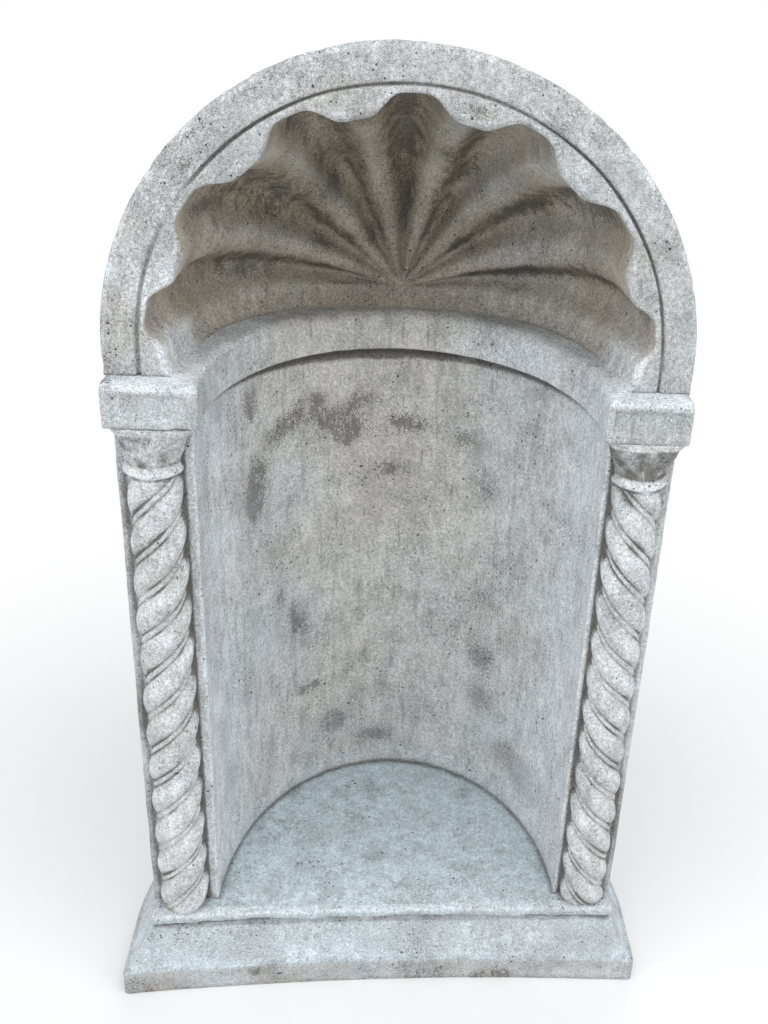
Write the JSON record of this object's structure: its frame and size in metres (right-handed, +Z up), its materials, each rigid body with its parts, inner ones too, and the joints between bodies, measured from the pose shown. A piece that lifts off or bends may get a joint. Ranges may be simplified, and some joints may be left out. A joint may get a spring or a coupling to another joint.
{
  "type": "statue niche",
  "caption": "Freestanding cast-stone statue niche: round-backed alcove under a scallop-shell hood, framed by rope-twist columns and standing on a moulded plinth.",
  "frame": {"origin": "on the ground under the middle of the bounding box", "axes": "+Z up, -Y out of the open front, +X to the right seen from the front"},
  "size_m": [0.694, 0.3926, 1.2],
  "materials": {
    "base_stone": "matte",
    "body_stone": "matte",
    "column_stone": "matte",
    "hood_stone": "matte"
  },
  "bodies": {
    "root": {"base_moulding": "base_stone", "floor_slab": "base_stone", "niche_floor": "base_stone", "archivolt": "hood_stone", "left_jamb": "body_stone", "left_abacus": "body_stone", "left_shaft": "column_stone", "left_neck_ring": "column_stone", "left_capital": "column_stone", "right_jamb": "body_stone", "right_abacus": "body_stone", "right_shaft": "column_stone", "right_neck_ring": "column_stone", "right_capital": "column_stone", "wall_right_front": "body_stone", "impost_right_front": "body_stone", "wall_right_middle": "body_stone", "impost_right_middle": "body_stone", "wall_right_back": "body_stone", "impost_right_back": "body_stone", "wall_left_back": "body_stone", "impost_left_back": "body_stone", "wall_left_middle": "body_stone", "impost_left_middle": "body_stone", "wall_left_front": "body_stone", "impost_left_front": "body_stone", "flute_right_low": "hood_stone", "flute_right_middle": "hood_stone", "flute_right_high": "hood_stone", "flute_centre": "hood_stone", "flute_left_high": "hood_stone", "flute_left_middle": "hood_stone", "flute_left_low": "hood_stone"}
  },
  "joints": []
}
